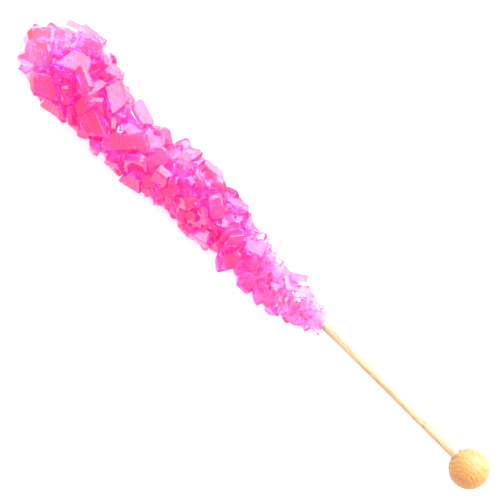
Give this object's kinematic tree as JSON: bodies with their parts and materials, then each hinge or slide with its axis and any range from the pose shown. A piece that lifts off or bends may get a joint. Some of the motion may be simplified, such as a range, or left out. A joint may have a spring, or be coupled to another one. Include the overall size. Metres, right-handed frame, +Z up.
{
  "type": "rock candy stick",
  "caption": "Rock candy on a stick: pink sugar crystals grown in a slim club shape on a thin wooden stick, with a round wooden bead as its handle.",
  "frame": {"origin": "middle of the footprint, on the surface that the stick lies on", "axes": "+X along the stick from the bead to the candy's tip, +Z up, away from the surface it lies on"},
  "size_m": [0.1776, 0.0244, 0.0222],
  "materials": {
    "sugar_crystal": "clear and hard, dyed hot pink, glossy facets",
    "stick_wood": "pale sanded wood with a lengthwise grain",
    "bead_wood": "smooth turned wood, lightly polished"
  },
  "bodies": {
    "root": {"candy": "sugar_crystal", "stick": "stick_wood", "bead": "bead_wood"}
  },
  "joints": []
}
